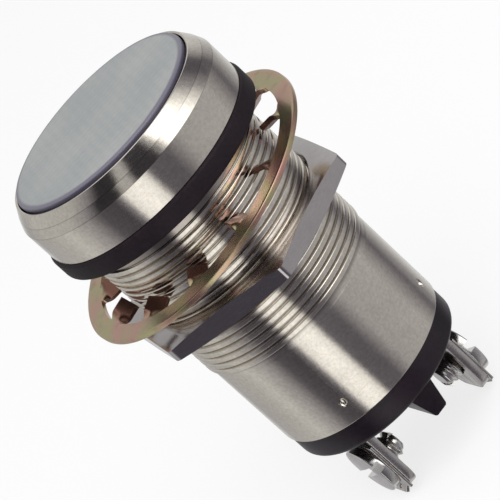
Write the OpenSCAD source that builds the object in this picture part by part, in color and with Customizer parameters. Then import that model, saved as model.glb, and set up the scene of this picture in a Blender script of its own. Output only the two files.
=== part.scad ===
// Panel pilot light: a lit lens in a threaded nickel-plated barrel, held in a panel by a nut,
// with two screw terminals on a rear insulator. The origin is the centre of the gasket's rear
// face, where the panel lies. +Z points out of the lens, and the terminals lie along X.

/* [Bezel] */
// How far the bezel stands out past the thread's crests
flange_w = 2.2; // [1.8:0.1:4]
// Height of the bezel's straight edge
bezel_edge_h = 4.2; // [3.2:0.1:6]
// Height of the bezel's sloped front
bezel_slope_h = 2.43; // [1.6:0.01:4]
// Height of the outer of the two facets of the slope
facet_h = 1.1; // [0.6:0.05:1.4]
// How far the edge between the two facets stands out of a straight slope
facet_bulge = 0.05; // [0:0.01:0.15]
// Radius of the rounded edge between the slope and the straight edge
bezel_round = 0.25; // [0.1:0.05:0.4]
// Width of the flat lip round the lens
lip_w = 0.4; // [0.2:0.05:0.6]
// Thickness of the bezel's floor, between the gasket and the lens recess
floor_t = 1.2; // [0.8:0.1:2]

/* [Lens] */
// Wall of the bezel round the lens
bezel_wall = 1.6; // [1.4:0.05:2.4]
// Gap between the lens and the lip
lens_gap = 0.33; // [0.2:0.01:0.5]
// Height of the lens above the lip
lens_proud = 0.49; // [0.2:0.01:1.5]
// Thickness of the lens's front
lens_t = 1.5; // [1:0.1:2.5]
// Thickness of the lens's side wall
lens_wall = 1.3; // [1:0.05:1.5]
// Radius of the lens's rounded front edge
lens_round = 0.35; // [0.1:0.05:0.8]
// Thickness of the round seal's section
seal_d = 1.1; // [1.04:0.02:1.2]
// Height of the seal's centre above the lens's rear edge
seal_up = 1.4; // [1:0.1:2]

/* [Gasket] */
// Thickness of the panel gasket
gasket_t = 2.4; // [1:0.1:4]
// How far the gasket stands out past the bezel
gasket_proud = 0.3; // [0:0.05:0.8]
// Radius of the gasket's rounded edges
gasket_round = 0.25; // [0.1:0.05:0.4]

/* [Barrel] */
// Radius of the thread's crests
thread_r = 11.9; // [11.6:0.05:12.2]
// Distance between two crests
thread_pitch = 0.94; // [0.8:0.01:1.2]
// Depth of the thread
thread_depth = 0.5; // [0.3:0.05:0.6]
// Width of the barrel thread's flat crests
crest_w = 0.4; // [0.1:0.01:0.5]
// Width of the flat bottom of every thread's grooves
root_w = 0.12; // [0.05:0.01:0.2]
// Plain neck between the gasket and the first groove
neck_l = 0.6; // [0.4:0.1:1.5]
// Number of grooves in the thread
thread_turns = 20; // [14:1:22]
// Width of the plain groove that ends the thread
runout_w = 0.4; // [0.3:0.1:1]
// How much smaller the plain rear of the barrel is than the crests
rear_relief = 0.25; // [0.1:0.05:0.4]
// Thickness of the barrel's wall under the thread
barrel_wall = 0.95; // [0.7:0.05:1.2]
// Length of the barrel behind the panel's front
barrel_l = 31.97; // [30:0.01:40]
// Chamfer on the barrel's rear edge
rear_chamfer = 0.15; // [0.05:0.05:0.3]
// Number of stakes that hold the insulator in the barrel
stakes = 4; // [2:1:6]
// Radius of each stake's dent
stake_r = 0.55; // [0.3:0.05:0.8]
// Depth of each stake's dent
stake_depth = 0.5; // [0.3:0.05:0.6]
// Distance from the barrel's rear edge to the stakes
stake_back = 2.77; // [1.5:0.01:4]
// Direction of the first stake round the barrel
stake_turn = 55; // [0:1:90]

/* [Nut and washer] */
// Wall of the nut at the middle of a flat
nut_wall = 2.04; // [1.5:0.01:3]
// Thickness of the nut
nut_t = 2.35; // [1.8:0.05:4]
// Distance from the gasket's rear face to the nut's front
nut_back = 10.4; // [9.6:0.1:14]
// How far the chamfers cut back the nut's corners
nut_chamfer = 0.44; // [0.2:0.02:0.8]
// Direction of one corner of the nut
nut_turn = 23.4; // [0:0.1:60]
// Space between the thread's crests and the washer's teeth
washer_gap = 0.4; // [0.3:0.05:0.8]
// Length of the washer's teeth
tooth_l = 2.7; // [1.5:0.05:3]
// Width of the washer's teeth
tooth_w = 2.3; // [1.5:0.1:2.6]
// Twist of the teeth
tooth_twist = 34; // [15:1:45]
// Share of a tooth's length, from the ring, along which it twists
twist_share = 0.35; // [0.2:0.05:0.8]
// Number of teeth
teeth = 12; // [8:1:13]
// Width of the washer's ring
washer_ring = 2.2; // [1.5:0.05:3]
// Thickness of the washer
washer_t = 0.64; // [0.5:0.02:0.9]
// Distance from the gasket's rear face to the middle of the washer
washer_back = 4.9; // [4.9:0.05:5.5]
// Tilt of the loose washer
washer_tilt = 8; // [0:0.05:8]
// Direction of the first tooth
tooth_turn = -3; // [-30:1:30]

/* [Insulator] */
// Thickness of the insulator's rim behind the barrel
rim_t = 3.3; // [2.5:0.1:5]
// How much smaller the rim is than the barrel's rear
rim_relief = 0.2; // [0.2:0.05:0.5]
// Radius of the rim's rounded rear edge
rim_round = 0.8; // [0.3:0.1:1.2]
// Wall of the insulator's cup inside the barrel
cup_wall = 1; // [0.8:0.1:1.4]
// Thickness of the cup's floor ahead of the rim
cup_floor = 1; // [0.6:0.1:2]
// Height of the barrier between the terminals
barrier_h = 3.8; // [2:0.1:5]
// Thickness of the barrier at its top
barrier_top = 1.9; // [1.2:0.1:3]
// Thickness of the barrier at its foot
barrier_foot = 3.5; // [3.2:0.1:5]
// Length of the barrier
barrier_l = 20; // [14:0.5:20]

/* [Terminals] */
// Distance from the axis to the blade's inner face
blade_x = 6.4; // [5.6:0.1:6.6]
// Sideways place of the blades
blade_y = 2; // [0:0.1:2]
// Thickness of the blade
blade_t = 1; // [0.8:0.05:1.3]
// Width of the blade
blade_w = 7.6; // [7:0.1:8]
// Length of the blade behind the insulator
blade_l = 9.43; // [8.8:0.01:11]
// Radius of the blade's rear corners
blade_round = 2.5; // [1:0.1:3]
// Width of the blade's tail in the insulator
tail_w = 3.2; // [2.4:0.1:4]
// Width of the bent lip at the blade's end
tongue_w = 2.6; // [1.5:0.1:2.8]
// Length of the tail inside the cup
tail_l = 2.5; // [1.5:0.1:3]
// Length of the bent lip
lip_l = 1.6; // [1.4:0.1:2.5]
// Thickness of the bent lip
lip_t = 0.45; // [0.3:0.05:0.6]
// Radius of the wire hole in the lip
lip_hole_r = 0.3; // [0.2:0.05:0.4]
// Distance from the insulator to the screw's axis
screw_back = 5.43; // [4.8:0.01:5.6]
// Radius of the screw's thread
screw_r = 1.75; // [1.4:0.05:2]
// Distance between two crests of the screw's thread
screw_pitch = 0.794; // [0.6:0.001:1]
// Depth of the screw's thread
screw_depth = 0.3; // [0.2:0.05:0.35]
// Length of the screw under its head
screw_l = 3.52; // [3.5:0.01:5]
// Radius of the screw's head
head_r = 3.4; // [3:0.1:3.6]
// Height of the head's straight edge
head_edge = 1.15; // [0.6:0.05:1.4]
// Height of the head's slight dome
dome_h = 0.2; // [0.1:0.05:0.5]
// Width of the driver slot
slot_w = 1.15; // [0.7:0.05:1.3]
// Depth of the driver slot
slot_d = 1; // [0.5:0.05:1.1]
// Turn of the slot, as the screw stands
slot_turn = 20; // [0:5:90]
// Side of the square clamp plate
plate_w = 7; // [6.8:0.1:7.2]
// Thickness of the clamp plate
plate_t = 0.35; // [0.3:0.05:0.5]
// Space for the wire between blade and plate, as the screw stands
wire_gap = 0.05; // [0.05:0.01:1.6]

/* [Lamp] */
// Thickness of both circuit boards
board_t = 1.2; // [0.8:0.1:1.6]
// Height of the diodes above their board
led_h = 8.6; // [7:0.1:9]
// Height of the diodes' foot ring
led_foot_h = 1; // [0.8:0.1:1.5]
// How far the foot ring stands out of the diode
led_foot = 0.4; // [0.2:0.05:0.6]
// Gap between the foot rings of two diodes
led_side_gap = 0.5; // [0.3:0.05:0.7]
// Gap between the outer foot rings and the reflector
led_edge_gap = 0.35; // [0.1:0.05:0.8]
// Gap between the diodes and the lens
led_gap = 1.12; // [0.5:0.01:2]
// Thickness of the reflector's collar under the lens
collar_t = 0.6; // [0.4:0.1:1]
// How much wider the reflector's cups are at the front
cup_flare = 0.3; // [0.1:0.05:0.35]
// Length of the sleeve between the boards
spacer_l = 6; // [5:0.1:8]
// Wall of the sleeve between the boards
spacer_wall = 0.8; // [0.5:0.05:1.2]

/* [Power board] */
// Radius of the capacitor
cap_r = 3.6; // [3:0.1:4]
// Height of the capacitor
cap_h = 12; // [8:0.5:13]
// Gap between the parts on the power board and the insulator's cup
part_gap = 0.6; // [0.4:0.1:0.8]
// Radius of the resistors
resistor_r = 1.15; // [0.8:0.05:1.3]
// Length of the resistors
resistor_l = 6.3; // [5:0.1:6.5]
// Side of the rectifier across the terminals' line
rectifier_y = 6; // [5:0.1:6.4]
// Side of the rectifier along the terminals' line
rectifier_x = 8.3; // [7:0.1:8.6]
// Height of the rectifier
rectifier_h = 3.2; // [2.5:0.1:4]
// Radius of the small parts' leads
lead_r = 0.3; // [0.2:0.05:0.35]
// Radius of the wires
wire_r = 0.5; // [0.3:0.05:0.6]

/* [Hidden] */
$fn = 96;
// Clearances
slip = 0.05;
loose = 0.1;
rest_gap = 0.02;
hole_gap = 0.06;
// Bezel and lens
bezel_r = thread_r + flange_w;
recess_r = bezel_r - bezel_wall;
lens_r = recess_r - lens_gap;
floor_z = gasket_t + floor_t;
edge_z = gasket_t + bezel_edge_h;
lip_z = edge_z + bezel_slope_h;
lens_z = lip_z + lens_proud;
lip_r = recess_r + lip_w;
collar_z = floor_z + collar_t;
seal_z = collar_z + seal_up;
seal_root_r = recess_r - rest_gap - seal_d;
// Barrel
thread_end = -neck_l - thread_turns * thread_pitch;
rear_r = thread_r - rear_relief;
bore_r = thread_r - thread_depth - barrel_wall;
barrel_z = -barrel_l;
stake_z = barrel_z + stake_back;
stake_point = bore_r - 0.3;
// Nut and washer
nut_r = thread_r + nut_wall;
corner_r = nut_r / cos(30);
nut_bore_r = thread_r + hole_gap;
bore_chamfer = 0.4;
tip_r = thread_r + washer_gap;
root_r = tip_r + tooth_l;
washer_r = root_r + washer_ring;
tooth_sink = 0.25;
tooth_inset = 0.03;
tooth_steps = 5;
skin = 0.01;
// Insulator and terminals
rim_r = rear_r - rim_relief;
rim_z = barrel_z - rim_t;
cup_r = bore_r - slip;
cup_bore_r = cup_r - cup_wall;
cup_z = barrel_z + cup_floor;
blade_mid = blade_x + blade_t / 2;
tail_z = cup_z + tail_l;
screw_z = rim_z - screw_back;
plate_x = blade_x + blade_t + wire_gap;
head_x = plate_x + plate_t + rest_gap;
neck_r = screw_r - screw_depth - slip;
screw_neck = plate_t + 0.4;
screw_end = 0.35;
screw_turns = floor((screw_l - screw_neck - screw_end) / screw_pitch);
dome_r = (head_r * head_r + dome_h * dome_h) / (2 * dome_h);
// Lamp
lens_under = lens_z - lens_t;
lamp_z = lens_under - led_gap - led_h;
reflector_z = lamp_z + led_foot_h + loose;
reflector_r = bore_r - loose;
reflector_rim = 0.8;
foot_r = (reflector_r - reflector_rim - led_edge_gap - led_side_gap) / 3;
led_r = foot_r - led_foot;
led_pitch = 2 * foot_r + led_side_gap;
lamp_back = lamp_z - board_t;
board_r = bore_r - 0.15;
power_z = lamp_back - spacer_l;
power_back = power_z - board_t;
lead_gap = 2.54;
lead_stub = 1;
lead_hole_r = lead_r + slip;
// Power board
cap_y = cup_bore_r - cap_r - part_gap;
resistor_x = cap_r + 0.3 + resistor_r;
resistor_y = part_gap + resistor_l / 2 - sqrt(pow(cup_bore_r, 2) - pow(resistor_x + resistor_r, 2));
resistor_reach = 0.9;
resistor_z = power_back - resistor_r - 0.3;
rectifier_mid = sqrt(pow(cup_bore_r, 2) - pow(rectifier_x / 2, 2)) - rectifier_y / 2 - part_gap;
// The two wires that join the boards stand beside the diodes
link_r = reflector_r - spacer_wall - wire_r - 0.3;
link_x = link_r * cos(30);
link_y = link_r * sin(30);

// Points of a round corner about [x, y], from angle a0 to a1
function corner(x, y, r, a0, a1, n = 4) =
    [for (i = [0:n]) [x + r * cos(a0 + (a1 - a0) * i / n), y + r * sin(a0 + (a1 - a0) * i / n)]];

// Outline of a thread that runs down from height z, one groove to a turn
function grooves(r, depth, pitch, crest, z, turns) = let(flank = (pitch - crest - root_w) / 2)
    [for (i = [0:turns - 1])
        each [
            [r, z - i * pitch],
            [r - depth, z - i * pitch - flank],
            [r - depth, z - i * pitch - flank - root_w],
            [r, z - (i + 1) * pitch + crest]
        ]];

// A point on the bezel's slope, h above its foot, if the slope were straight
function slope_r(h) = bezel_r + (lip_r - bezel_r) * h / bezel_slope_h;

// Where a diode stands: one in the middle and six round it
function led_place(i) = i == 1 ? [0, 0] : led_pitch * [cos(60 * i), sin(60 * i)];

// Puts what stands on the +X side on the other side too
module on_side(side) {
    if (side < 0)
        mirror([1, 0, 0]) children();
    else
        children();
}

// Turns a shape built along Z so that it points out along +X on the screw's axis
module on_screw_axis(x) {
    translate([x, blade_y, screw_z]) rotate([0, 90, 0]) children();
}

module around(count, turn) {
    for (i = [0:count - 1])
        rotate([0, 0, turn + 360 * i / count]) children();
}

// A stake is a punch mark: a dent outside and its point inside
module stake_cone(r_out, r_in) {
    translate([r_in, 0, stake_z]) rotate([0, 90, 0])
        cylinder(h = r_out - r_in, r1 = 0, r2 = stake_r * (r_out - r_in) / stake_depth);
}

module housing() {
    color([0.72, 0.71, 0.67]) difference() {
        union() {
            rotate_extrude() polygon(concat(
                [[recess_r, floor_z], [recess_r, lip_z], [lip_r, lip_z]],
                [[slope_r(facet_h) + facet_bulge, edge_z + facet_h]],
                corner(bezel_r - bezel_round, edge_z - bezel_round, bezel_round, 27, 0, 3),
                [[bezel_r, gasket_t], [thread_r, gasket_t]],
                grooves(thread_r, thread_depth, thread_pitch, crest_w, -neck_l, thread_turns),
                [[thread_r, thread_end], [rear_r - rear_relief, thread_end - rear_relief]],
                [[rear_r - rear_relief, thread_end - rear_relief - runout_w]],
                [[rear_r, thread_end - 2 * rear_relief - runout_w]],
                [[rear_r, barrel_z + rear_chamfer], [rear_r - rear_chamfer, barrel_z]],
                [[bore_r, barrel_z], [bore_r, floor_z]]
            ));
            around(stakes, stake_turn) stake_cone(bore_r + barrel_wall / 2, stake_point);
        }
        around(stakes, stake_turn) stake_cone(rear_r + skin, rear_r - stake_depth);
    }
}

module lens() {
    color([0.88, 0.9, 0.9, 0.8]) rotate_extrude() polygon(concat(
        [[0, lens_z]],
        corner(lens_r - lens_round, lens_z - lens_round, lens_round, 90, 0, 6),
        [[lens_r, seal_z + seal_d / 2 + slip], [seal_root_r, seal_z + seal_d / 2 + slip]],
        [[seal_root_r, seal_z - seal_d / 2 - slip], [lens_r, seal_z - seal_d / 2 - slip]],
        [[lens_r, collar_z], [lens_r - lens_wall, collar_z]],
        [[lens_r - lens_wall, lens_under], [0, lens_under]]
    ));
}

module lens_seal() {
    color([0.1, 0.1, 0.1]) rotate_extrude()
        translate([seal_root_r + rest_gap / 2 + seal_d / 2, seal_z]) circle(d = seal_d, $fn = 32);
}

module panel_gasket() {
    gasket_r = bezel_r + gasket_proud;
    color([0.13, 0.12, 0.13]) rotate_extrude() polygon(concat(
        [[thread_r + loose, 0]],
        corner(gasket_r - gasket_round, gasket_round, gasket_round, -90, 0, 3),
        corner(gasket_r - gasket_round, gasket_t - gasket_round, gasket_round, 0, 90, 3),
        [[thread_r + loose, gasket_t]]
    ));
}

// One tooth runs inwards from the ring, twists about its own length near it, and goes on straight
module washer_tooth() {
    function tooth_ring(k) =
        let(s = k == tooth_steps ? 1 : twist_share * max(0, k - 1) / (tooth_steps - 2),
            turn = -tooth_twist * min(1, s / twist_share),
            r = k == 0 ? root_r + 2 * tooth_sink : root_r + tooth_sink - (tooth_l + tooth_sink) * s,
            half_t = washer_t / 2 - tooth_inset)
        [for (c = [[1, 1], [-1, 1], [-1, -1], [1, -1]])
            let(a = c[0] * tooth_w / 2, b = c[1] * half_t)
            [r, a * cos(turn) - b * sin(turn), a * sin(turn) + b * cos(turn)]];
    points = [for (k = [0:tooth_steps]) each tooth_ring(k)];
    sides = [for (k = [0:tooth_steps - 1]) for (j = [0:3])
        [4 * k + j, 4 * k + (j + 1) % 4, 4 * k + 4 + (j + 1) % 4, 4 * k + 4 + j]];
    last = 4 * tooth_steps;
    polyhedron(points, concat([[3, 2, 1, 0], [last, last + 1, last + 2, last + 3]], sides));
}

module lock_washer() {
    color([0.72, 0.66, 0.42]) translate([0, 0, -washer_back]) rotate([0, washer_tilt, 0]) {
        difference() {
            cylinder(h = washer_t, r = washer_r, center = true);
            cylinder(h = 2 * washer_t, r = root_r, center = true);
        }
        around(teeth, tooth_turn) washer_tooth();
    }
}

module hex_nut() {
    slope = nut_chamfer / (corner_r - nut_r);
    color([0.66, 0.65, 0.62]) translate([0, 0, -nut_back - nut_t]) difference() {
        intersection() {
            rotate([0, 0, nut_turn]) cylinder(h = nut_t, r = corner_r, $fn = 6);
            rotate_extrude() polygon([
                [0, 0], [nut_r, 0], [nut_r + nut_t / 2 / slope, nut_t / 2], [nut_r, nut_t], [0, nut_t]
            ]);
        }
        translate([0, 0, -1]) cylinder(h = nut_t + 2, r = nut_bore_r);
        translate([0, 0, -skin])
            cylinder(h = bore_chamfer, r1 = nut_bore_r + bore_chamfer, r2 = nut_bore_r);
        translate([0, 0, nut_t - bore_chamfer + skin])
            cylinder(h = bore_chamfer, r1 = nut_bore_r, r2 = nut_bore_r + bore_chamfer);
    }
}

module barrier() {
    translate([0, barrier_l / 2, rim_z]) rotate([90, 0, 0]) linear_extrude(barrier_l) polygon([
        [-barrier_foot / 2, skin], [barrier_foot / 2, skin], [barrier_top / 2, skin - barrier_h + 0.2],
        [barrier_top / 2 - 0.2, -barrier_h], [0.2 - barrier_top / 2, -barrier_h],
        [-barrier_top / 2, skin - barrier_h + 0.2]
    ]);
}

module rear_insulator() {
    color([0.12, 0.11, 0.13]) {
        difference() {
            rotate_extrude() polygon(concat(
                [[0, cup_z], [cup_bore_r, cup_z], [cup_bore_r, power_back], [cup_r, power_back]],
                [[cup_r, barrel_z], [rim_r, barrel_z]],
                corner(rim_r - rim_round, rim_z + rim_round, rim_round, 0, -90, 5),
                [[0, rim_z]]
            ));
            for (side = [-1, 1])
                on_side(side) translate([blade_x - slip, blade_y - tail_w / 2 - slip, rim_z - 1])
                    cube([blade_t + 2 * slip, tail_w + 2 * slip, rim_t + cup_floor + 2]);
            around(stakes, stake_turn) stake_cone(cup_r + barrel_wall, stake_point - slip);
        }
        barrier();
    }
}

// Outline of a blade with round corners at its lower end, which lies at y = 0
module blade_outline() {
    translate([-blade_w / 2, blade_round]) square([blade_w, blade_l - blade_round]);
    translate([blade_round - blade_w / 2, 0]) square([blade_w - 2 * blade_round, blade_l]);
    for (x = [blade_round - blade_w / 2, blade_w / 2 - blade_round])
        translate([x, blade_round]) circle(r = blade_round);
    translate([-tail_w / 2, blade_l - skin]) square([tail_w, tail_z - rim_z + skin]);
}

module terminal_blade(side) {
    color([0.7, 0.69, 0.66]) on_side(side) difference() {
        union() {
            translate([blade_x, blade_y, rim_z - blade_l]) rotate([90, 0, 90])
                linear_extrude(blade_t) blade_outline();
            translate([blade_mid, blade_y - tongue_w / 2, rim_z - blade_l + lip_t]) rotate([0, 135, 0])
                translate([-lip_t / 2, 0, 0]) cube([lip_t, tongue_w, lip_l]);
        }
        on_screw_axis(blade_x - 1) cylinder(h = blade_t + 2, r = screw_r + slip);
        translate([blade_mid, blade_y, rim_z - blade_l + lip_t]) rotate([0, 135, 0])
            translate([-1, 0, lip_l - lip_hole_r - 0.25]) rotate([0, 90, 0])
                cylinder(h = 3, r = lip_hole_r, $fn = 24);
    }
}

module clamp_plate(side) {
    color([0.62, 0.61, 0.58]) on_side(side) on_screw_axis(plate_x) difference() {
        translate([-plate_w / 2, -plate_w / 2, 0]) cube([plate_w, plate_w, plate_t]);
        translate([0, 0, -1]) cylinder(h = plate_t + 2, r = neck_r + slip, $fn = 48);
    }
}

module terminal_screw(side) {
    tip = screw_turns * screw_pitch + screw_neck;
    color([0.75, 0.74, 0.71]) on_side(side) on_screw_axis(head_x) difference() {
        rotate_extrude($fn = 64) polygon(concat(
            corner(0, head_edge + dome_h - dome_r, dome_r, 90, asin((dome_r - dome_h) / dome_r), 8),
            [[head_r, 0], [neck_r, 0], [neck_r, -screw_neck]],
            grooves(screw_r, screw_depth, screw_pitch, root_w, -screw_neck, screw_turns),
            [[screw_r, -tip], [screw_r - 0.4, -screw_l], [0, -screw_l]]
        ));
        rotate([0, 0, slot_turn]) translate([-slot_w / 2, -head_r - 1, head_edge + dome_h - slot_d])
            cube([slot_w, 2 * head_r + 2, slot_d + 1]);
    }
}

module reflector() {
    cup = led_r + loose;
    color([0.95, 0.95, 0.93]) difference() {
        rotate_extrude() polygon([
            [0, collar_z], [lens_r, collar_z], [lens_r, floor_z], [reflector_r, floor_z],
            [reflector_r, lamp_z], [reflector_r - reflector_rim, lamp_z],
            [reflector_r - reflector_rim, reflector_z], [0, reflector_z]
        ]);
        for (i = [1:7])
            translate(concat(led_place(i), reflector_z - skin))
                cylinder(h = collar_z - reflector_z + 2 * skin, r1 = cup, r2 = cup + cup_flare);
    }
}

module round_board(z) {
    translate([0, 0, z]) cylinder(h = board_t, r = board_r);
}

module drill(x, y, z, r) {
    translate([x, y, z - 1]) cylinder(h = board_t + 2, r = r, $fn = 24);
}

module lamp_board() {
    color([0.12, 0.35, 0.2]) difference() {
        round_board(lamp_back);
        for (i = [1:7]) for (side = [-1, 1])
            drill(led_place(i)[0] + side * lead_gap / 2, led_place(i)[1], lamp_back, lead_hole_r);
        for (side = [-1, 1])
            drill(side * link_x, -link_y, lamp_back, wire_r + slip);
    }
}

// A diode has a foot ring, a round dome and two leads through the board
module led(i) {
    color([0.9, 0.93, 0.95]) translate(concat(led_place(i), lamp_z)) {
        rotate_extrude($fn = 48) polygon(concat(
            [[0, 0], [foot_r, 0], [foot_r, led_foot_h], [led_r, led_foot_h]],
            corner(0, led_h - led_r, led_r, 0, 90, 8)
        ));
        for (side = [-1, 1])
            translate([side * lead_gap / 2, 0, -board_t - lead_stub])
                cylinder(h = board_t + lead_stub + skin, r = lead_r, $fn = 16);
    }
}

module board_sleeve() {
    color([0.85, 0.82, 0.7]) translate([0, 0, power_z]) difference() {
        cylinder(h = spacer_l, r = reflector_r);
        translate([0, 0, -1]) cylinder(h = spacer_l + 2, r = reflector_r - spacer_wall);
    }
}

module power_board() {
    color([0.12, 0.35, 0.2]) difference() {
        round_board(power_back);
        for (side = [-1, 1]) {
            drill(side * link_x, -link_y, power_back, wire_r + slip);
            drill(side * blade_mid, blade_y, power_back, wire_r + slip);
            drill(side * lead_gap, -cap_y, power_back, lead_hole_r);
            for (end = [-1, 1]) {
                drill(side * resistor_x, resistor_y + end * (resistor_l / 2 + resistor_reach),
                    power_back, lead_hole_r);
                drill(side * rectifier_x / 2 - side, rectifier_mid + end * (rectifier_y / 2 - 1),
                    power_back, lead_hole_r);
            }
        }
    }
}

// Can with a crimped waist near its foot and a round rear edge
module capacitor() {
    color([0.1, 0.12, 0.2]) translate([0, -cap_y, power_back]) {
        rotate_extrude($fn = 48) polygon(concat(
            [[0, 0], [cap_r - 0.3, 0], [cap_r, -0.3], [cap_r, -1.2], [cap_r - 0.3, -1.6], [cap_r, -2]],
            corner(cap_r - 0.5, 0.5 - cap_h, 0.5, 0, -90, 3),
            [[0, -cap_h]]
        ));
        for (side = [-1, 1])
            translate([side * lead_gap, 0, -skin]) cylinder(h = board_t + skin, r = lead_r, $fn = 16);
    }
}

// A resistor lies along Y, and its two leads bend into the board
module resistor(side) {
    bend = resistor_l / 2 + resistor_reach;
    color([0.75, 0.65, 0.45]) translate([side * resistor_x, resistor_y, resistor_z]) {
        rotate([90, 0, 0]) rotate_extrude($fn = 32) polygon([
            [0, -resistor_l / 2], [resistor_r - 0.2, -resistor_l / 2], [resistor_r, 0.3 - resistor_l / 2],
            [resistor_r, 1.3 - resistor_l / 2], [resistor_r - 0.15, 1.6 - resistor_l / 2],
            [resistor_r - 0.15, resistor_l / 2 - 1.6], [resistor_r, resistor_l / 2 - 1.3],
            [resistor_r, resistor_l / 2 - 0.3], [resistor_r - 0.2, resistor_l / 2], [0, resistor_l / 2]
        ]);
        rotate([90, 0, 0]) cylinder(h = 2 * bend, r = lead_r, center = true, $fn = 16);
        for (end = [-1, 1]) translate([0, end * bend, 0]) {
            sphere(r = lead_r, $fn = 16);
            cylinder(h = power_z - resistor_z, r = lead_r, $fn = 16);
        }
    }
}

module rectifier() {
    color([0.1, 0.1, 0.1]) translate([0, rectifier_mid, power_back]) {
        translate([-rectifier_x / 2, -rectifier_y / 2, -rectifier_h])
            cube([rectifier_x, rectifier_y, rectifier_h]);
        for (side = [-1, 1]) for (end = [-1, 1])
            translate([side * (rectifier_x / 2 - 1), end * (rectifier_y / 2 - 1), -skin])
                cylinder(h = board_t + skin, r = lead_r, $fn = 16);
    }
}

module terminal_lead(side) {
    color([0.15, 0.15, 0.16]) translate([side * blade_mid, blade_y, tail_z])
        cylinder(h = power_z - tail_z, r = wire_r, $fn = 24);
}

module link_wire(side) {
    color([0.7, 0.12, 0.1]) translate([side * link_x, -link_y, power_back])
        cylinder(h = lamp_z - power_back, r = wire_r, $fn = 24);
}

housing();
lens();
lens_seal();
panel_gasket();
lock_washer();
hex_nut();
rear_insulator();
terminal_blade(1);  // terminal_blade_a
terminal_blade(-1);  // terminal_blade_b
clamp_plate(1);  // clamp_plate_a
clamp_plate(-1);  // clamp_plate_b
terminal_screw(1);  // terminal_screw_a
terminal_screw(-1);  // terminal_screw_b
reflector();
lamp_board();
for (i = [1:7]) led(i);
board_sleeve();
power_board();
capacitor();
resistor(1);  // resistor_a
resistor(-1);  // resistor_b
rectifier();
terminal_lead(1);  // terminal_lead_a
terminal_lead(-1);  // terminal_lead_b
link_wire(1);  // link_wire_a
link_wire(-1);  // link_wire_b
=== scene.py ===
import math

import bmesh
import bpy
from mathutils import Matrix, Quaternion, Vector


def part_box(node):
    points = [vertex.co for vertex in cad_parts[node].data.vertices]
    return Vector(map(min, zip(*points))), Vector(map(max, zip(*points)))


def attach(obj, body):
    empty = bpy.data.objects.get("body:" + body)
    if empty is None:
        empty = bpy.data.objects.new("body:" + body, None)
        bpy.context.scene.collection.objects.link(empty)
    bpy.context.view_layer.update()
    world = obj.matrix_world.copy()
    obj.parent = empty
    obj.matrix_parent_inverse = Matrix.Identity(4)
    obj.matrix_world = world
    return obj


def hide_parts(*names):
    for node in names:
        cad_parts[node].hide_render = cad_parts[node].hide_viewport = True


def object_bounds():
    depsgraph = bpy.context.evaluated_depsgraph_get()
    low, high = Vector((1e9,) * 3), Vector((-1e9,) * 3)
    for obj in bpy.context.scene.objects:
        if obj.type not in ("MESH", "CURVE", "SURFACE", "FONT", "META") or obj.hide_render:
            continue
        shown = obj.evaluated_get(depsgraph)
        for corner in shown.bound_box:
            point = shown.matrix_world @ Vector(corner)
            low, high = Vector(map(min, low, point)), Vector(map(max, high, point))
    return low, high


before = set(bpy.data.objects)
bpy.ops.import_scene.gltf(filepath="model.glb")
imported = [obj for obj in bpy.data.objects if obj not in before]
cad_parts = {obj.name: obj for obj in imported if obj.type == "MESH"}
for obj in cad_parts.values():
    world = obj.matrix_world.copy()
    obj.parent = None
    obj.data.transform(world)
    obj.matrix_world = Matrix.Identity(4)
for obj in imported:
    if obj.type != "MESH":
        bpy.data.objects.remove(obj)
cad_low, cad_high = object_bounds()
MM = 0.001


# ---------------------------------------------------------------- Camera
# The light is seen from above its lens's rim and to one side of its terminals, from about a
# third of a metre, with the camera rolled so that the lens points up and to the left.
scene = bpy.context.scene
scene.view_settings.view_transform = "Standard"
camera_azimuth, camera_elevation, camera_roll = 77.54, 22.47, -47.38
camera_distance = 318.1
look_at = Vector((0.25, 4.84, -11.6))
towards_camera = Vector((
    math.cos(math.radians(camera_azimuth)) * math.cos(math.radians(camera_elevation)),
    math.sin(math.radians(camera_azimuth)) * math.cos(math.radians(camera_elevation)),
    math.sin(math.radians(camera_elevation)),
))
camera = bpy.data.objects.new("camera", bpy.data.cameras.new("camera"))
camera.data.lens = 213.4
camera.data.sensor_width = 36
camera.data.clip_start, camera.data.clip_end = 0.01, 10
camera.rotation_mode = "QUATERNION"
camera.location = (look_at + camera_distance * towards_camera) * MM
upright = towards_camera.to_track_quat("Z", "Y")
camera.rotation_quaternion = upright @ Quaternion((0, 0, 1), math.radians(camera_roll))
scene.collection.objects.link(camera)
scene.camera = camera


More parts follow.
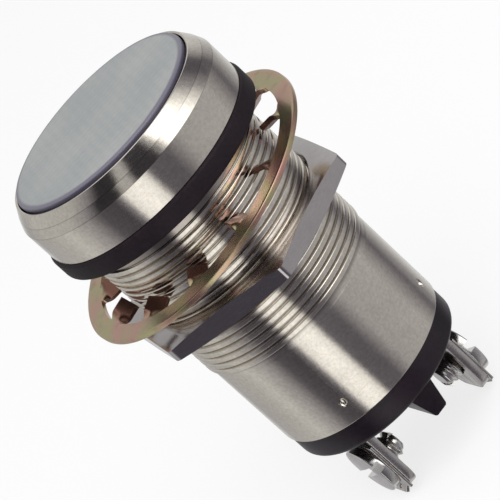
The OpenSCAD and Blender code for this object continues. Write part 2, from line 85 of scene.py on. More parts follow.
# ---------------------------------------------------------------- Shader sockets
# Every finish below is written with this wrapper: arithmetic on a value adds Math nodes, and
# node() adds any other node from its type, its settings and its sockets.
class Shade:
    def __init__(self, tree, socket=None):
        self.tree = tree
        self.socket = socket

    def node(self, kind, settings=None, sockets=None, output=0):
        made = self.tree.nodes.new("ShaderNode" + kind)
        for key, value in (settings or {}).items():
            if key == "stops":
                self.set_stops(made.color_ramp, value)
            else:
                setattr(made, key, value)
        for key, value in (sockets or {}).items():
            if isinstance(value, Shade):
                self.tree.links.new(value.socket, made.inputs[key])
            else:
                made.inputs[key].default_value = value
        return Shade(self.tree, made.outputs[output] if made.outputs else None)

    @staticmethod
    def set_stops(ramp, stops):
        while len(ramp.elements) < len(stops):
            ramp.elements.new(0.5)
        for element, (place, colour) in zip(ramp.elements, stops):
            element.position = place
            element.color = (*colour, 1)

    def math(self, operation, *values):
        return self.node("Math", {"operation": operation}, dict(enumerate(values)))

    def __add__(self, other):
        return self.math("ADD", self, other)

    def __sub__(self, other):
        return self.math("SUBTRACT", self, other)

    def __rsub__(self, other):
        return self.math("SUBTRACT", other, self)

    def __mul__(self, other):
        return self.math("MULTIPLY", self, other)

    def __truediv__(self, other):
        return self.math("DIVIDE", self, other)

    __radd__ = __add__
    __rmul__ = __mul__

    def between(self, low, high):
        """0 below low, 1 above high, and a smooth step between."""
        return self.node("MapRange", {"interpolation_type": "SMOOTHSTEP"},
                         {"Value": self, "From Min": low, "From Max": high})

    def blend(self, colour_a, colour_b):
        """colour_a where this value is 0 and colour_b where it is 1."""
        input_a, input_b, colour_output = 6, 7, 2
        return self.node("Mix", {"data_type": "RGBA"},
                         {"Factor": self, input_a: colour_a, input_b: colour_b}, colour_output)

    def noise(self, scale, detail=3.0, stretch=(1, 1, 1), turn=(0, 0, 0), roughness=0.5):
        """Noise by the place in millimetres. A stretch above 1 packs it closer along that axis."""
        place = self.node("TexCoord", output="Object")
        place = self.node("Mapping", None, {"Vector": place, "Rotation": turn})
        metres = tuple(s / MM for s in stretch)
        place = self.node("Mapping", None, {"Vector": place, "Scale": metres})
        return self.node("TexNoise", None, {"Vector": place, "Scale": scale, "Detail": detail,
                                            "Roughness": roughness})


# ---------------------------------------------------------------- Studio
# A pale floor, a plain white sky and two soft lamps. What the metal mirrors is a ring of light
# and dark cards round the part, one row below its rim and one above, given by their directions.
world = bpy.data.worlds.new("studio")
scene.world = world
world.use_nodes = True
world.node_tree.nodes.clear()
sky = Shade(world.node_tree)
LOW_CARDS = [
    (-92, 0.66), (-75, 0.42), (-40, 0.50), (-22, 0.62), (0, 0.38), (17, 0.10), (36, 0.07),
    (42, 0.25), (46, 1.00), (59, 1.20), (70, 1.00), (76, 0.13), (97, 0.12), (116, 0.41),
    (168, 0.46), (199, 0.14), (240, 0.68), (268, 0.66),
]
HIGH_CARDS = [
    (-92, 0.50), (-60, 0.55), (-12, 0.50), (9, 0.24), (20, 0.03), (42, 0.03), (48, 0.50),
    (58, 0.45), (64, 0.04), (90, 0.04), (99, 0.45), (108, 2.10), (134, 1.90), (152, 0.95),
    (168, 0.34), (184, 0.10), (198, 0.10), (212, 0.48), (224, 0.72), (268, 0.50),
]
CARD_START = -92


def card_ring(turn, cards):
    """A ramp of grey levels by azimuth, whose darker cards are a little violet."""
    stops = []
    for azimuth, level in cards:
        violet = max(0, 1 - level / 0.5)
        colour = (level, level * (1 - 0.08 * violet), level * (1 + 0.15 * violet))
        stops.append(((azimuth - CARD_START) / 360, colour))
    return turn.node("ValToRGB", {"stops": stops}, {"Fac": turn})


direction = sky.node("SeparateXYZ", None, {"Vector": sky.node("TexCoord", output="Generated")})
east, north, up = (Shade(sky.tree, direction.socket.node.outputs[i]) for i in range(3))
turn = east.math("ARCTAN2", north, east) / (2 * math.pi) - CARD_START / 360
turn = turn.math("FRACT", turn)
cards = up.between(-0.15, 0.2).blend(card_ring(turn, LOW_CARDS), card_ring(turn, HIGH_CARDS))
cards = up.between(0.8, 0.95).blend(cards, (0.9, 0.9, 0.9, 1))
PLAIN_LEVEL = 0.6
seen = sky.node("LightPath", output="Is Glossy Ray").blend((PLAIN_LEVEL,) * 3 + (1,), cards)
seen = sky.node("LightPath", output="Is Camera Ray").blend(seen, (1, 1, 1, 1))
light = sky.node("Background", None, {"Color": seen, "Strength": 1.0})
sky.node("OutputWorld", None, {"Surface": light})


def soft_lamp(name, azimuth, elevation, distance, size, power):
    lamp = bpy.data.objects.new(name, bpy.data.lights.new(name, "AREA"))
    lamp.data.size = size
    lamp.data.energy = power
    around, above = math.radians(azimuth), math.radians(elevation)
    aim = Vector((math.cos(around) * math.cos(above), math.sin(around) * math.cos(above),
                  math.sin(above)))
    lamp.location = aim * distance
    lamp.rotation_mode = "QUATERNION"
    lamp.rotation_quaternion = aim.to_track_quat("Z", "Y")
    lamp.visible_glossy = False
    scene.collection.objects.link(lamp)


soft_lamp("key_lamp", azimuth=84, elevation=52, distance=0.6, size=0.5, power=2.4)
soft_lamp("fill_lamp", azimuth=60, elevation=30, distance=0.6, size=0.5, power=0.4)

floor_half, floor_gap = 1.5, 0.0002
floor_mesh = bmesh.new()
bmesh.ops.create_grid(floor_mesh, x_segments=1, y_segments=1, size=floor_half,
                      matrix=Matrix.Translation((0, 0, cad_low.z - floor_gap)))
floor = bpy.data.objects.new("floor", bpy.data.meshes.new("floor"))
floor_mesh.to_mesh(floor.data)
floor_mesh.free()
scene.collection.objects.link(floor)
floor.visible_glossy = False


def finish_named(name):
    """A new material and the wrapper on its empty node tree."""
    made = bpy.data.materials.new(name)
    made.use_nodes = True
    made.node_tree.nodes.clear()
    return made, Shade(made.node_tree)


def surface(shade, **sockets):
    """Ends a material in one Principled BSDF. base_color stands for Base Color, and so on."""
    named = {key.replace("_", " ").title().replace("Ior", "IOR"): value
             for key, value in sockets.items()}
    bsdf = shade.node("BsdfPrincipled", None, named)
    shade.node("OutputMaterial", None, {"Surface": bsdf})


floor_white, shade = finish_named("floor white")
matt = shade.node("BsdfDiffuse", None, {"Color": (0.96, 0.96, 0.96, 1)})
plain = shade.node("Emission", None, {"Color": (1, 1, 1, 1), "Strength": 1.0})
lit = shade.node("LightPath", output="Is Camera Ray") * 0.75
shade.node("OutputMaterial", None, {"Surface": shade.node("MixShader", None, {
    "Fac": lit, 1: matt, 2: plain})})
floor.data.materials.append(floor_white)


# ---------------------------------------------------------------- Barrel and bezel
# One turned brass piece, nickel plated and finely brushed on the lathe: a bezel with a sloped
# front in two facets, a flange over the gasket, the threaded barrel and a plain rear sleeve that
# four punch marks stake to the insulator.
bezel_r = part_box("housing")[1].x / MM
lip_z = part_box("housing")[1].z / MM
rear_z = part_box("housing")[0].z / MM
gasket_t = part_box("panel_gasket")[1].z / MM
slope_h, facet_h, facet_r = 2.43, 1.1, 13.62
edge_z = lip_z - slope_h
lip_r, recess_r, recess_z, bore_r = 12.9, 12.5, 3.6, 10.45
thread_r, thread_root, thread_pitch, crest_w, root_w = 11.9, 11.58, 0.94, 0.56, 0.07
thread_start, thread_turns = -0.6, 20
thread_end = thread_start - thread_turns * thread_pitch
sleeve_r, sleeve_start = 11.65, thread_end - 0.9
# Faces that meet at less than this many degrees shade as one surface
SMOOTH_UP_TO = 35


def finished_piece(name, bm, material, body, slot, *cad_nodes, sharp=SMOOTH_UP_TO):
    """Makes the mesh an object in metres, shaded smooth but for its sharp edges, on its body."""
    bmesh.ops.scale(bm, vec=(MM, MM, MM), verts=bm.verts)
    for face in bm.faces:
        face.smooth = True
    for edge in bm.edges:
        edge.smooth = edge.calc_face_angle(0) < math.radians(sharp)
    piece = bpy.data.objects.new(name, bpy.data.meshes.new(name))
    bm.to_mesh(piece.data)
    bm.free()
    piece.data.materials.append(material)
    scene.collection.objects.link(piece)
    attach(piece, body)
    if cad_nodes:
        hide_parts(*cad_nodes)
    return piece


def outline(bm, points, closed=True):
    """A line of straight edges in the XZ plane. A point's third number rounds its corner."""
    corners = [bm.verts.new((point[0], 0, point[1])) for point in points]
    for a, b in zip(corners, corners[1:]):
        bm.edges.new((a, b))
    if closed:
        bm.edges.new((corners[-1], corners[0]))
    for corner, point in zip(corners, points):
        if len(point) > 2:
            bmesh.ops.bevel(bm, geom=[corner], affect="VERTICES", offset=point[2], segments=5,
                            profile=0.5, material=-1, offset_type="OFFSET")


def turned(points, steps=192, closed=True):
    """A shape turned on the lathe from its outline."""
    bm = bmesh.new()
    outline(bm, points, closed)
    bmesh.ops.spin(bm, geom=bm.verts[:] + bm.edges[:], cent=(0, 0, 0), axis=(0, 0, 1),
                   angle=2 * math.pi, steps=steps, use_merge=True)
    bmesh.ops.remove_doubles(bm, verts=bm.verts, dist=0.0005)
    bmesh.ops.recalc_face_normals(bm, faces=bm.faces)
    return bm


def thread_ridge(crest, root, pitch, start, turns, crest_w, root_w, steps=72):
    """A helical ridge that runs down from height start and sinks away at both ends."""
    bm = bmesh.new()
    below_root, crest_round, fade_turn = 0.15, 0.08, math.radians(50)
    sunk = root - below_root
    flank = (pitch - crest_w - root_w) / 2
    half = crest_w / 2 + flank * (crest - sunk) / (crest - root)
    outline(bm, [(sunk, start + half), (crest, start + crest_w / 2, crest_round),
                 (crest, start - crest_w / 2, crest_round), (sunk, start - half)])
    profile = bm.verts[:]
    last = bmesh.ops.spin(bm, geom=bm.verts[:] + bm.edges[:], cent=(0, 0, 0), axis=(0, 0, 1),
                          dvec=(0, 0, -pitch / steps), angle=-2 * math.pi * turns,
                          steps=round(steps * turns))
    ends = [profile, [v for v in last["geom_last"] if isinstance(v, bmesh.types.BMVert)]]
    for end in ends:
        bmesh.ops.contextual_create(bm, geom=end)
    bmesh.ops.recalc_face_normals(bm, faces=bm.faces)
    for vert in bm.verts:
        along = 2 * math.pi * (start - vert.co.z) / pitch
        left = min(along + math.pi, 2 * math.pi * turns - along + math.pi)
        if left < fade_turn:
            vert.co.xy *= 1 - (1 - left / fade_turn) * (crest - sunk) / crest * 0.5
    return bm


def carve(piece, cutter):
    """Cuts the cutter's shape, given in millimetres, out of a finished piece."""
    bmesh.ops.scale(cutter, vec=(MM, MM, MM), verts=cutter.verts)
    tool = bpy.data.objects.new("tool", bpy.data.meshes.new("tool"))
    cutter.to_mesh(tool.data)
    cutter.free()
    scene.collection.objects.link(tool)
    cut = piece.modifiers.new("cut", "BOOLEAN")
    cut.operation, cut.object, cut.solver = "DIFFERENCE", tool, "EXACT"
    dressed = piece.evaluated_get(bpy.context.evaluated_depsgraph_get())
    piece_mesh = bpy.data.meshes.new_from_object(dressed)
    piece_mesh.shade_smooth()
    piece_mesh.set_sharp_from_angle(angle=math.radians(SMOOTH_UP_TO))
    piece.modifiers.clear()
    piece.data = piece_mesh
    bpy.data.objects.remove(tool)


def place_parts(shade):
    """The place on the piece in millimetres: its x, y and z, and its distance from the axis."""
    split = shade.node("SeparateXYZ", None, {"Vector": shade.node("TexCoord", output="Object")})
    x, y, z = (Shade(shade.tree, split.socket.node.outputs[i]) / MM for i in range(3))
    return x, y, z, x.math("SQRT", x * x + y * y)


nickel, shade = finish_named("brushed nickel")
z, radius = place_parts(shade)[2:]
streaks = shade.noise(1.0, detail=4, stretch=(0.9, 0.9, 9.0), roughness=0.65)
grain = shade.noise(2.6, detail=4, roughness=0.65)
patches = shade.noise(0.18, detail=2)
tone = (streaks - 0.5) * 0.4 + (grain - 0.5) * 0.9 + (patches - 0.5) * 0.4 + 0.5
colour = tone.between(0.2, 0.8).blend((0.66, 0.615, 0.54, 1), (0.86, 0.805, 0.715, 1))
# Painted shade: the barrel's thread grooves darken towards their root.
groove_shade = z.between(thread_end - 0.5, thread_end) - radius.between(thread_root, thread_r - 0.08)
colour = (groove_shade * 0.6).blend(colour, (0.25, 0.21, 0.19, 1))
# Painted shade: a thin dark line along each edge of the sloped front, where its two facets meet
# and where it meets the bezel's side.
for step_z in (edge_z, edge_z + facet_h):
    from_shaded_edge = z.math("ABSOLUTE", z - step_z)
    colour = ((1 - from_shaded_edge.between(0.0, 0.08)) * 0.45).blend(colour, (0.22, 0.19, 0.17, 1))
height = shade.node("Bump", None, {"Strength": 0.2, "Distance": 0.00002,
                                   "Height": streaks * 0.7 + grain * 0.8})
surface(shade, base_color=colour, metallic=1.0, roughness=0.07 + streaks * 0.1, normal=height)

housing = turned([
    (recess_r, recess_z), (recess_r, lip_z - 0.05, 0.05), (lip_r - 0.12, lip_z, 0.1),
    (facet_r, edge_z + facet_h, 0.03), (bezel_r, edge_z, 0.08), (bezel_r, gasket_t, 0.12),
    (thread_r, gasket_t), (thread_r, thread_start), (thread_root, thread_start - 0.4),
    (thread_root, thread_end - 0.55), (sleeve_r, sleeve_start, 0.1), (sleeve_r, rear_z, 0.15),
    (bore_r, rear_z), (bore_r, recess_z),
])
marks = bmesh.new()
mark_count, mark_r, mark_out, mark_z, mark_turn = 4, 0.62, 0.18, rear_z + 2.77, 55
for i in range(mark_count):
    around = math.radians(mark_turn + 360 / mark_count * i)
    place = (Matrix.Rotation(around, 4, "Z")
             @ Matrix.Translation((sleeve_r + mark_out, 0, mark_z)))
    bmesh.ops.create_uvsphere(marks, u_segments=24, v_segments=12, radius=mark_r, matrix=place)
housing = finished_piece("barrel_and_bezel", housing, nickel, "body", "nickel", "housing")
carve(housing, marks)

thread = thread_ridge(thread_r, thread_root, thread_pitch, thread_start - 0.75 * thread_pitch,
                      thread_turns - 0.5, crest_w, root_w)
finished_piece("barrel_thread", thread, nickel, "body", "nickel")


# ---------------------------------------------------------------- Lens
# A moulded cap of pale, finely frosted plastic, unlit. Its underside carries a fine diamond
# pattern that shows faintly through the front, and its rim is rounded.
lens_over, lens_round, lens_wall, lens_t = 0.16, 0.4, 1.3, 1.5
lens_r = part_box("lens")[1].x / MM + lens_over
lens_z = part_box("lens")[1].z / MM
lens_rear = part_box("lens")[0].z / MM
frosted, shade = finish_named("frosted lens")
x, y, z, radius = place_parts(shade)
prism_pitch, prism_turn = 1.6, math.radians(32)
across = (x * math.cos(prism_turn) + y * math.sin(prism_turn)) * (2 * math.pi / prism_pitch)
along = (x * math.sin(prism_turn) - y * math.cos(prism_turn)) * (2 * math.pi / prism_pitch)
prisms = across.math("SINE", across) * along.math("SINE", along) * 0.5 + 0.5
cloud = shade.noise(0.12, detail=2)
fine = shade.noise(3.0, detail=3, stretch=(0.6, 1.5, 1), turn=(0, 0, math.radians(22)))
tone = prisms * 0.1 + cloud * 0.55 + fine * 0.35
colour = tone.between(0.3, 0.7).blend((0.272, 0.292, 0.296, 1), (0.360, 0.368, 0.360, 1))
# Painted shade: the top darkens to a violet grey towards its rounded rim.
rim_shade = radius.between(lens_r - 0.75, lens_r - 0.3)
colour = rim_shade.blend(colour, (0.15, 0.14, 0.18, 1))
# Painted shade: the side wall below the top is painted near-black.
side = 1 - z.between(lens_z - 0.3, lens_z - 0.1)
colour = side.blend(colour, (0.05, 0.045, 0.07, 1))
height = shade.node("Bump", None, {"Strength": 0.2, "Distance": 0.00004,
                                   "Height": prisms * 0.25 + fine * 0.5})
surface(shade, base_color=colour, roughness=0.4, normal=height, coat_weight=0.25,
        coat_roughness=0.25)
lens = turned([(0, lens_z), (lens_r, lens_z, lens_round), (lens_r, lens_rear),
               (lens_r - lens_wall, lens_rear), (lens_r - lens_wall, lens_z - lens_t),
               (0, lens_z - lens_t)], closed=False)
finished_piece("lens_cap", lens, frosted, "body", "frosted_lens", "lens")


# ---------------------------------------------------------------- Gasket
# A soft moulded rubber ring behind the bezel, a little wider than it, with rounded edges.
gasket_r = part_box("panel_gasket")[1].x / MM
gasket_bore_r, gasket_round = thread_r + 0.1, 0.35
rubber, shade = finish_named("black rubber")
speck = shade.noise(2.5, detail=4)
patches = shade.noise(0.3, detail=2)
colour = (speck * 0.5 + patches * 0.5).between(0.3, 0.7).blend(
    (0.007, 0.0035, 0.006, 1), (0.014, 0.008, 0.012, 1))
height = shade.node("Bump", None, {"Strength": 0.3, "Distance": 0.00003, "Height": speck})
surface(shade, base_color=colour, roughness=0.5 + patches * 0.15, normal=height,
        specular_ior_level=0.25)
gasket = turned([(gasket_bore_r, 0), (gasket_r, 0, gasket_round),
                 (gasket_r, gasket_t, gasket_round), (gasket_bore_r, gasket_t)])
finished_piece("rubber_gasket", gasket, rubber, "body", "gasket_rubber", "panel_gasket")


# ---------------------------------------------------------------- Lock washer
# A loose internal-tooth washer stamped from steel, its teeth twisted, then zinc plated and
# chromate dipped, which leaves a brownish yellow film with pink and green clouds.
washer_r, tooth_root, tooth_tip, washer_t = 17.2, 15.0, 12.3, 0.6
tooth_w, tooth_fillet, tooth_twist, twist_share = 2.3, 0.25, -33, 0.4
tooth_count, tooth_turn, washer_back, washer_tilt, rim_bevel = 12, -3, 4.9, 8, 0.06


def stamped_washer():
    """One tooth's share of the ring, thickened and twisted, then repeated round the axis."""
    share = 2 * math.pi / tooth_count
    columns, ring_rows, tooth_rows = 32, 5, 16
    rows = ring_rows + tooth_rows
    bm = bmesh.new()
    bmesh.ops.create_grid(bm, x_segments=columns, y_segments=rows, size=1)
    tooth_part, root_half = 0.5, tooth_w / 2 + tooth_fillet
    spare = []
    for face in bm.faces:
        middle = face.calc_center_median()
        if (middle.y + 1) / 2 * rows < tooth_rows and abs(middle.x) > tooth_part:
            spare.append(face)
    bmesh.ops.delete(bm, geom=spare, context="FACES")
    inner = root_half / tooth_root
    for vert in bm.verts:
        u, row = vert.co.x, (vert.co.y + 1) / 2 * rows
        if row > tooth_rows + 0.01:
            r = tooth_root + (washer_r - tooth_root) * (row - tooth_rows) / ring_rows
        else:
            r = tooth_root - (tooth_root - tooth_tip) * max(0, 1 - row / tooth_rows) ** 1.5
        down = tooth_root - r
        if abs(u) > tooth_part:
            angle = inner + (abs(u) - tooth_part) / (1 - tooth_part) * (share / 2 - inner)
            angle = math.copysign(angle, u)
            vert.co = (r * math.cos(angle), r * math.sin(angle), 0)
        elif down > 0:
            left = max(0, tooth_fillet - down)
            half = root_half - math.sqrt(tooth_fillet ** 2 - left ** 2)
            vert.co = (r, u / tooth_part * half, 0)
        else:
            angle = u / tooth_part * inner
            vert.co = (r * math.cos(angle), r * math.sin(angle), 0)
    sheet = bmesh.ops.extrude_face_region(bm, geom=bm.faces[:])["geom"]
    raised = [v for v in sheet if isinstance(v, bmesh.types.BMVert)]
    bmesh.ops.translate(bm, vec=(0, 0, washer_t), verts=raised)
    bmesh.ops.translate(bm, vec=(0, 0, -washer_t / 2), verts=bm.verts)
    joined = [f for f in bm.faces
              if all(abs(abs(math.atan2(v.co.y, v.co.x)) - share / 2) < 0.0001 for v in f.verts)]
    bmesh.ops.delete(bm, geom=joined, context="FACES_ONLY")
    loose = [e for e in bm.edges if not e.link_faces]
    bmesh.ops.delete(bm, geom=loose, context="EDGES")
    for vert in bm.verts:
        down = tooth_root - vert.co.x
        if down > 0 and abs(vert.co.y) < root_half - 0.001:
            along = min(1, down / (tooth_root - tooth_tip) / twist_share)
            along = along ** 2 * (3 - 2 * along)
            vert.co = Matrix.Rotation(math.radians(tooth_twist) * along, 3, "X") @ vert.co
    geom = bm.verts[:] + bm.edges[:] + bm.faces[:]
    bmesh.ops.spin(bm, geom=geom, cent=(0, 0, 0), axis=(0, 0, 1), angle=2 * math.pi - share,
                   steps=tooth_count - 1, use_duplicate=True)
    bmesh.ops.remove_doubles(bm, verts=bm.verts, dist=0.002)
    bmesh.ops.recalc_face_normals(bm, faces=bm.faces)
    rims = [e for e in bm.edges if e.calc_face_angle(0) > math.radians(60)
            and min(v.co.xy.length for v in e.verts) > washer_r - 0.01]
    bmesh.ops.bevel(bm, geom=rims, affect="EDGES", offset=rim_bevel, segments=2, profile=0.5,
                    material=-1, clamp_overlap=True)
    place = (Matrix.Translation((0, 0, -washer_back))
             @ Matrix.Rotation(math.radians(washer_tilt), 4, "Y")
             @ Matrix.Rotation(math.radians(tooth_turn), 4, "Z"))
    bmesh.ops.transform(bm, matrix=place, verts=bm.verts)
    return bm


zinc, shade = finish_named("yellow zinc")
radius = place_parts(shade)[3]
film = shade.noise(0.13, detail=1)
spots = shade.noise(0.7, detail=3, turn=(0.4, 0.8, 0.2))
fine = shade.noise(5.0, detail=3)
tint = film.node("ValToRGB", {"stops": [
    (0.30, (0.62, 0.34, 0.29)), (0.42, (0.62, 0.45, 0.30)), (0.50, (0.53, 0.49, 0.27)),
    (0.60, (0.66, 0.38, 0.32)), (0.70, (0.56, 0.44, 0.28))]}, {"Fac": film})
tint = (spots.between(0.5, 0.8) * 0.5).blend(tint, (0.42, 0.26, 0.22, 1))
# The teeth, inward of the ring, are painted a dark brown.
dark_teeth = 1 - radius.between(tooth_root - 1.0, tooth_root - 0.2)
tint = dark_teeth.blend(tint, (0.24, 0.12, 0.09, 1))
height = shade.node("Bump", None, {"Strength": 0.15, "Distance": 0.00003, "Height": spots + fine})
surface(shade, base_color=tint, metallic=0.95, roughness=0.18 + fine * 0.12, normal=height)
finished_piece("toothed_washer", stamped_washer(), zinc, "body", "zinc_steel", "lock_washer",
               sharp=50)


# ---------------------------------------------------------------- Hex nut
# A thin nut milled from nickel-plated brass bar. Its flats are smoother than the barrel, both
# its faces are chamfered at the corners, and its bore is threaded for the barrel.
nut_nickel, shade = finish_named("milled nickel")
cuts = shade.noise(1.2, detail=3, stretch=(1, 1, 5))
grain = shade.noise(6.0, detail=2)
patches = shade.noise(0.25, detail=2)
tone = (cuts - 0.5) * 0.4 + (grain - 0.5) * 0.3 + (patches - 0.5) * 0.5 + 0.5
colour = tone.between(0.2, 0.8).blend((0.49, 0.46, 0.46, 1), (0.60, 0.57, 0.57, 1))
height = shade.node("Bump", None, {"Strength": 0.15, "Distance": 0.00002, "Height": cuts + grain})
surface(shade, base_color=colour, metallic=1.0, roughness=0.1 + cuts * 0.08, normal=height)
nut_low, nut_high = (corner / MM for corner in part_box("hex_nut"))
nut_turn, nut_corner_w, nut_chamfer_r, nut_chamfer = 23.4, 0.5, thread_r + 2.04, 0.44
nut_bore_r, bore_chamfer, past_corner = thread_r + 0.06, 0.3, 4
nut_corner = nut_high.y / math.cos(math.radians(30 - nut_turn))
cutter_end = nut_chamfer_r + past_corner
cutter_fall = past_corner * nut_chamfer / (nut_corner - nut_chamfer_r)
nut = bmesh.new()
place = (Matrix.Translation((0, 0, (nut_low.z + nut_high.z) / 2))
         @ Matrix.Rotation(math.radians(nut_turn - 30), 4, "Z"))
bmesh.ops.create_cone(nut, cap_ends=True, segments=6, radius1=nut_corner, radius2=nut_corner,
                      depth=nut_high.z - nut_low.z, matrix=place)
corners = [e for e in nut.edges if abs(e.verts[0].co.z - e.verts[1].co.z) > 1]
bmesh.ops.bevel(nut, geom=corners, affect="EDGES", offset=nut_corner_w, segments=6, profile=0.5,
                material=-1)
nut = finished_piece("panel_nut", nut, nut_nickel, "nut", "nickel_nut", "hex_nut")
carve(nut, turned([(0, nut_high.z + 1), (nut_bore_r + bore_chamfer + 1, nut_high.z + 1),
                   (nut_bore_r, nut_high.z - bore_chamfer), (nut_bore_r, nut_low.z + bore_chamfer),
                   (nut_bore_r + bore_chamfer + 1, nut_low.z - 1), (0, nut_low.z - 1)],
                  closed=False))
for face_z, way in ((nut_high.z, 1), (nut_low.z, -1)):
    carve(nut, turned([(nut_chamfer_r, face_z), (cutter_end, face_z - way * cutter_fall),
                       (cutter_end, face_z + way), (nut_chamfer_r, face_z + way)]))


# ---------------------------------------------------------------- Rear insulator
# A moulded black plastic cup with a rim that closes the sleeve and a barrier between the two
# terminals. Its edges are rounded and its skin is faintly uneven.
def softened(name, node, radius, material, body, slot, segments=2):
    """A copy of a CAD node with its sharp edges rounded, which takes the node's place."""
    bm = bmesh.new()
    bm.from_mesh(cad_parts[node].data)
    bmesh.ops.scale(bm, vec=(1 / MM,) * 3, verts=bm.verts)
    bmesh.ops.remove_doubles(bm, verts=bm.verts, dist=0.001)
    bmesh.ops.dissolve_limit(bm, angle_limit=math.radians(0.5), verts=bm.verts, edges=bm.edges)
    sharp = [e for e in bm.edges if e.calc_face_angle(0) > math.radians(33)]
    bmesh.ops.bevel(bm, geom=sharp, affect="EDGES", offset=radius, segments=segments,
                    profile=0.5, material=-1, clamp_overlap=True)
    bmesh.ops.triangulate(bm, faces=[f for f in bm.faces if len(f.verts) > 4])
    return finished_piece(name, bm, material, body, slot, node)


moulded, shade = finish_named("moulded black")
skin = shade.noise(2.0, detail=4)
patches = shade.noise(0.2, detail=2)
colour = (skin * 0.4 + patches * 0.6).between(0.35, 0.65).blend(
    (0.005, 0.002, 0.005, 1), (0.012, 0.006, 0.011, 1))
height = shade.node("Bump", None, {"Strength": 0.25, "Distance": 0.00003, "Height": skin})
surface(shade, base_color=colour, roughness=0.25 + patches * 0.2, normal=height,
        specular_ior_level=0.35)
softened("insulator", "rear_insulator", 0.18, moulded, "body", "black_plastic", segments=3)


# ---------------------------------------------------------------- Terminals
# Two stamped blades of nickel-plated brass, pressed into the insulator, each tapped for a slotted
# screw that carries a thin square clamp plate. The blade's tongue is bent outwards and pierced.
terminal, shade = finish_named("plated terminal")
smears = shade.noise(0.9, detail=3, stretch=(1, 1, 0.4))
grain = shade.noise(5.0, detail=3)
tone = smears * 0.6 + grain * 0.4
colour = tone.between(0.3, 0.7).blend((0.50, 0.46, 0.43, 1), (0.72, 0.70, 0.68, 1))
height = shade.node("Bump", None, {"Strength": 0.2, "Distance": 0.00003, "Height": smears + grain})
surface(shade, base_color=colour, metallic=1.0, roughness=0.14 + grain * 0.14, normal=height)
for side in "ab":
    softened("blade_" + side, "terminal_blade_" + side, 0.06, terminal, "body", "terminal_metal")
    softened("plate_" + side, "clamp_plate_" + side, 0.06, terminal, "clamp_" + side,
             "terminal_metal")


# ---------------------------------------------------------------- Terminal screws
# Slotted cheese-head machine screws of plated steel: a thick head with a rounded edge, a deep
# slot cut a little off square, a plain neck and a rolled thread.
head_r, head_h, head_edge, slot_w, slot_d, slot_turn = 3.4, 1.35, 1.15, 1.15, 1.0, 20
screw_r, screw_root, screw_pitch, screw_end, neck = 1.75, 1.45, 0.794, 3.52, 0.75
screw_metal, shade = finish_named("screw steel")
grain = shade.noise(5.0, detail=3)
patches = shade.noise(0.6, detail=2)
tone = grain * 0.4 + patches * 0.6
colour = tone.between(0.3, 0.7).blend((0.58, 0.55, 0.52, 1), (0.80, 0.79, 0.77, 1))
height = shade.node("Bump", None, {"Strength": 0.15, "Distance": 0.00003, "Height": grain})
surface(shade, base_color=colour, metallic=1.0, roughness=0.12 + grain * 0.12, normal=height)
for side, way in (("a", 1), ("b", -1)):
    low, high = (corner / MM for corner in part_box("terminal_screw_" + side))
    head_x = max(abs(low.x), abs(high.x)) - head_h
    place = (Matrix.Translation((way * head_x, (low.y + high.y) / 2, (low.z + high.z) / 2))
             @ Matrix.Rotation(way * math.pi / 2, 4, "Y"))
    screw = turned([(0, head_h), (head_r - 0.45, head_edge + 0.12, 0.3), (head_r, head_edge, 0.15),
                    (head_r, 0, 0.12), (screw_root + 0.05, 0), (screw_root, -neck),
                    (screw_root, -screw_end + 0.3, 0.1), (screw_root - 0.25, -screw_end),
                    (0, -screw_end)], steps=96, closed=False)
    bmesh.ops.transform(screw, matrix=place, verts=screw.verts)
    screw = finished_piece("screw_" + side, screw, screw_metal, "screw_" + side, "screw_metal",
                           "terminal_screw_" + side)
    slot = bmesh.new()
    cut = (place @ Matrix.Rotation(math.radians(way * slot_turn), 4, "Z")
           @ Matrix.Translation((0, 0, head_h - slot_d + 1))
           @ Matrix.Diagonal((slot_w, 2 * head_r + 2, 2, 1)))
    bmesh.ops.create_cube(slot, size=1, matrix=cut)
    carve(screw, slot)
    ridge = thread_ridge(screw_r, screw_root, screw_pitch, -neck - 0.5 * screw_pitch,
                         (screw_end - neck) / screw_pitch - 0.9, crest_w=0.1, root_w=0.1,
                         steps=40)
    bmesh.ops.transform(ridge, matrix=place, verts=ridge.verts)
    finished_piece("screw_thread_" + side, ridge, screw_metal, "screw_" + side, "screw_metal")


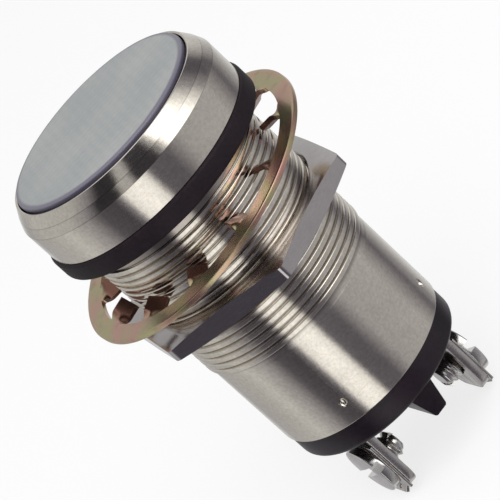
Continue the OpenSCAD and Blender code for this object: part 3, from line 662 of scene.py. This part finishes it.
# ---------------------------------------------------------------- Lamp inside
# Under the lens a white moulded reflector cup carries a board of seven clear LEDs, and a rubber
# ring seals the lens. The CAD's own shapes stay here, with moulded and soldered finishes.
def finish_nodes(names, low, high, roughness, grain=2.0, bump=0.2, **sockets):
    """A finish mottled between two colours, given to CAD nodes that keep their shape."""
    made, shade = finish_named(names[0] + " finish")
    mottle = shade.noise(grain, detail=4)
    cloud = shade.noise(grain / 8, detail=2)
    tone = (mottle * 0.5 + cloud * 0.5).between(0.3, 0.7)
    relief = shade.node("Bump", None, {"Strength": bump, "Distance": 0.00003, "Height": mottle})
    surface(shade, base_color=tone.blend((*low, 1), (*high, 1)), roughness=roughness + cloud * 0.1,
            normal=relief, **sockets)
    for name in names:
        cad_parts[name].data.materials.clear()
        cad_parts[name].data.materials.append(made)


finish_nodes(["lens_seal"], (0.010, 0.010, 0.011), (0.022, 0.021, 0.023), 0.55)
finish_nodes(["reflector"], (0.72, 0.72, 0.70), (0.82, 0.82, 0.80), 0.35, bump=0.1)
led_names = [f"led_{i}" for i in range(1, 8)]
finish_nodes(led_names, (0.66, 0.68, 0.69), (0.76, 0.78, 0.78), 0.12, bump=0.05,
             transmission_weight=0.6)


# ---------------------------------------------------------------- Circuit inside
# Behind the lamp board an insulating tube holds the power board, whose capacitor, rectifier and
# resistors bring the supply down for the LEDs. Tinned and sleeved wires join them.
finish_nodes(["lamp_board", "power_board"], (0.020, 0.095, 0.040), (0.035, 0.135, 0.060), 0.4,
             grain=1.2)
finish_nodes(["board_sleeve"], (0.60, 0.57, 0.50), (0.70, 0.67, 0.60), 0.4)
finish_nodes(["capacitor"], (0.012, 0.016, 0.045), (0.022, 0.028, 0.070), 0.3, grain=1.0)
finish_nodes(["resistor_a", "resistor_b"], (0.30, 0.42, 0.50), (0.40, 0.52, 0.60), 0.4)
finish_nodes(["rectifier"], (0.010, 0.010, 0.011), (0.022, 0.022, 0.024), 0.45, grain=4.0)
finish_nodes(["terminal_lead_a", "terminal_lead_b"], (0.013, 0.013, 0.014), (0.028, 0.028, 0.030),
             0.45, grain=1.5)
finish_nodes(["link_wire_a", "link_wire_b"], (0.28, 0.020, 0.018), (0.42, 0.035, 0.030), 0.4,
             grain=1.5)
